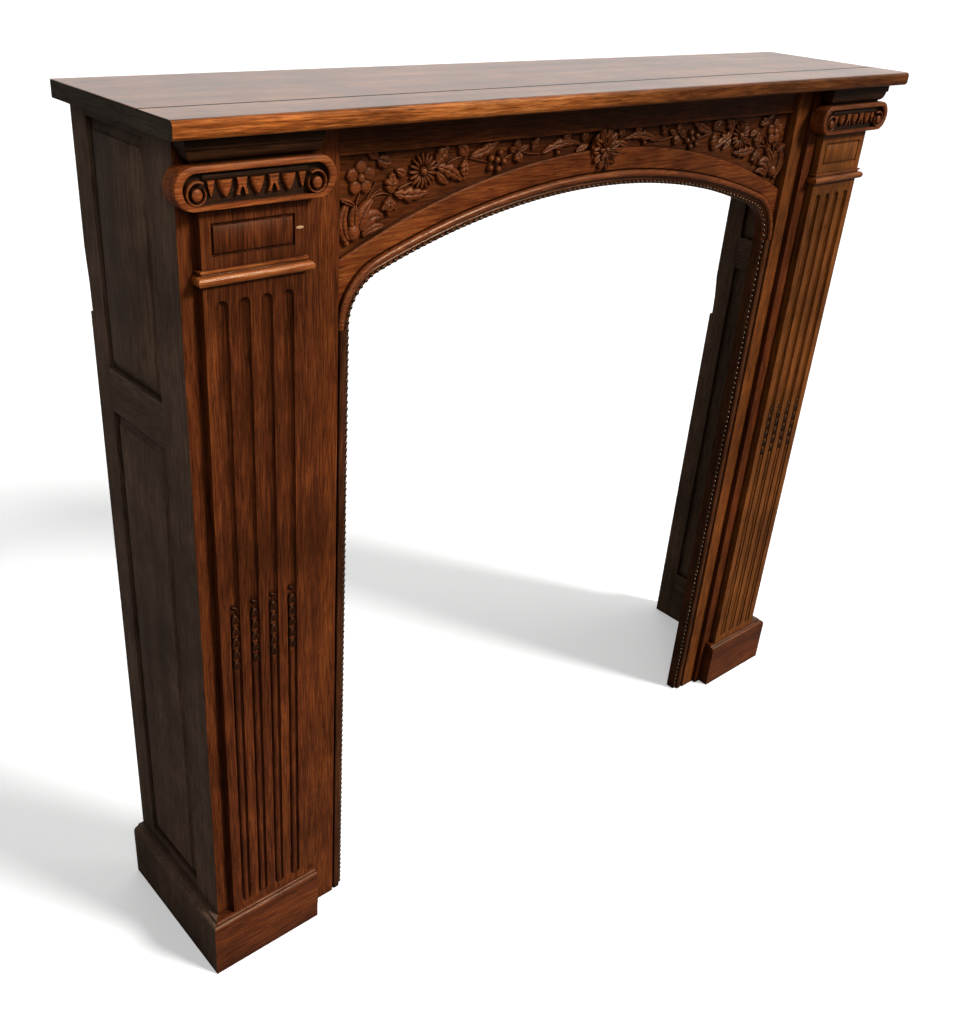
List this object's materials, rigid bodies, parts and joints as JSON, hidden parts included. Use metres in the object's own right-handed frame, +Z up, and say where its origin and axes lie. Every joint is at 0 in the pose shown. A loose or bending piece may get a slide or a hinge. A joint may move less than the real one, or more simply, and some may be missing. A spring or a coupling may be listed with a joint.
{
  "type": "fireplace mantel",
  "caption": "Oak fireplace surround with a flat shelf, fluted pilasters, a carved arched frieze and panelled side returns, open at the back.",
  "frame": {"origin": "on the floor, midway along the shelf and midway through its depth", "axes": "+X along the shelf to the right seen from the room, +Y towards the wall, +Z up"},
  "size_m": [1.23, 0.252, 1.1],
  "materials": {
    "oak_front": "old waxed oak, red brown",
    "oak_side": "old waxed oak, dark grey brown",
    "oak_shelf": "old waxed oak, faded on top"
  },
  "bodies": {
    "root": {"shelf_back_board": "oak_shelf", "shelf_front_board": "oak_shelf", "arch_panel": "oak_front", "arch_moulding_crown": "oak_front", "arch_moulding_left": "oak_front", "arch_moulding_right": "oak_front", "impost_left": "oak_side", "impost_right": "oak_side", "capital_left": "oak_front", "capital_right": "oak_front", "pilaster_left": "oak_front", "pilaster_right": "oak_front", "collar_left": "oak_front", "collar_right": "oak_front", "outer_stile_left": "oak_front", "outer_stile_right": "oak_front", "inner_stile_left": "oak_front", "inner_stile_right": "oak_front", "jamb_moulding_left": "oak_front", "jamb_moulding_right": "oak_front", "plinth_front_left": "oak_front", "plinth_front_right": "oak_front", "plinth_side_left": "oak_side", "plinth_side_right": "oak_side", "return_back_stile_left": "oak_side", "return_back_stile_right": "oak_side", "return_front_stile_left": "oak_side", "return_front_stile_right": "oak_side", "return_top_rail_left": "oak_side", "return_top_rail_right": "oak_side", "return_middle_rail_left": "oak_side", "return_middle_rail_right": "oak_side", "return_bottom_rail_left": "oak_side", "return_bottom_rail_right": "oak_side", "return_upper_panel_left": "oak_side", "return_upper_panel_right": "oak_side", "return_lower_panel_left": "oak_side", "return_lower_panel_right": "oak_side"}
  },
  "joints": []
}
